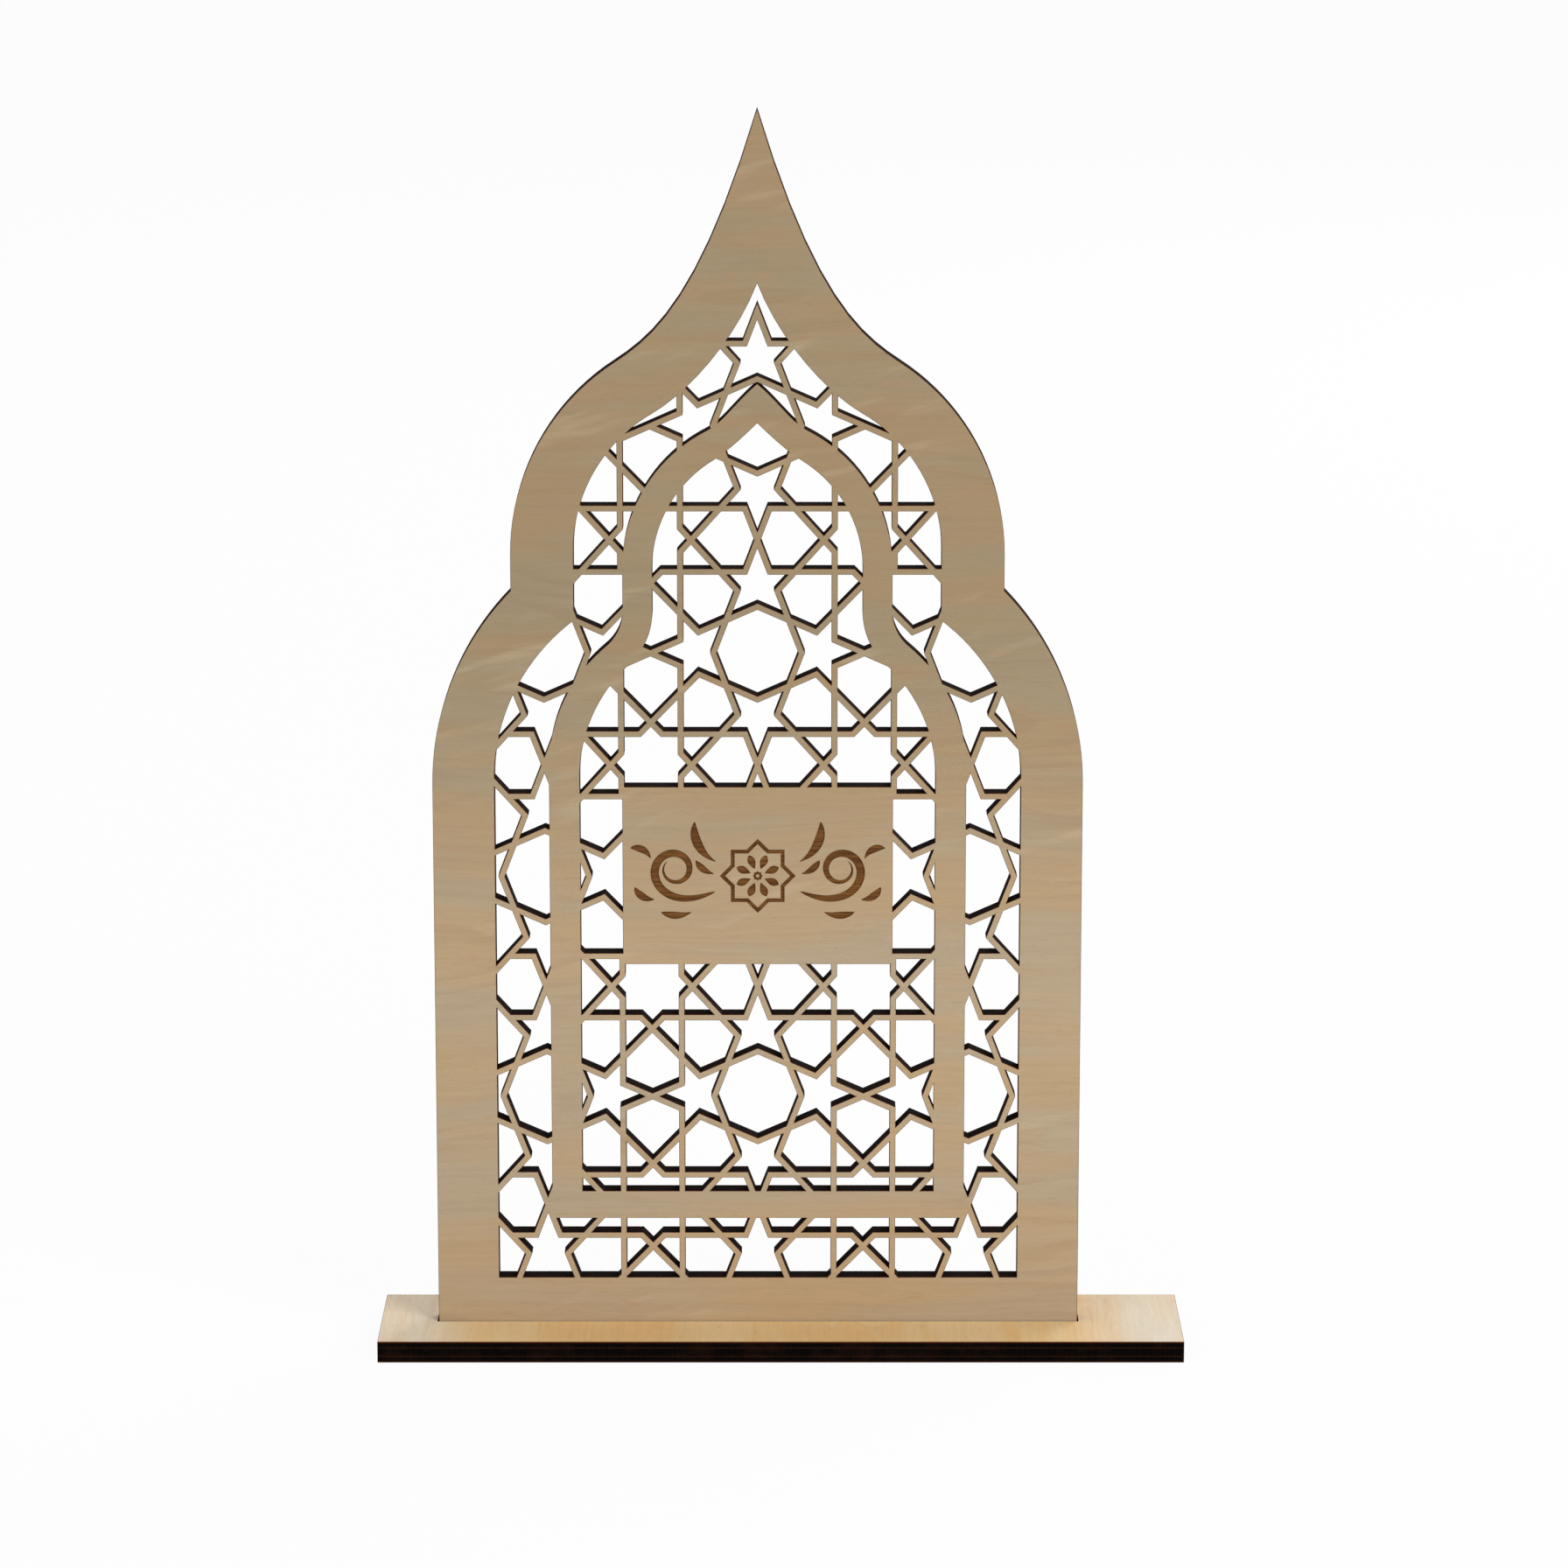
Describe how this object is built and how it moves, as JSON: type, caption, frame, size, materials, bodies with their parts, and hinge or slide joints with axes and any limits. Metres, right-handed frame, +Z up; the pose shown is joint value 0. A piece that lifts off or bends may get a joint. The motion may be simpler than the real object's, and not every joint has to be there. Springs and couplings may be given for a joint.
{
  "type": "free-standing pierced arch ornament",
  "caption": "Flat plywood panel in the outline of a stepped pointed arch, pierced with geometric star strapwork around a plain plaque, standing upright in a slotted rectangular base.",
  "frame": {"origin": "middle of the base's underside, on the surface the part stands on", "axes": "+X to the right along the base, +Y to the back, +Z up along the panel; the panel's front face looks towards -Y"},
  "size_m": [0.222, 0.044, 0.343],
  "materials": {
    "base_wood": "raw plywood, lightly sanded, with burnt cut edges",
    "panel_wood": "raw plywood, lightly sanded, with burnt cut edges"
  },
  "bodies": {
    "base": {"base": "base_wood"},
    "panel": {"panel": "panel_wood"}
  },
  "joints": [
    {"name": "panel_lift", "type": "slide", "parent": "base", "child": "panel", "axis": [0, 0, 1], "range_m": [0, 0.03]}
  ]
}
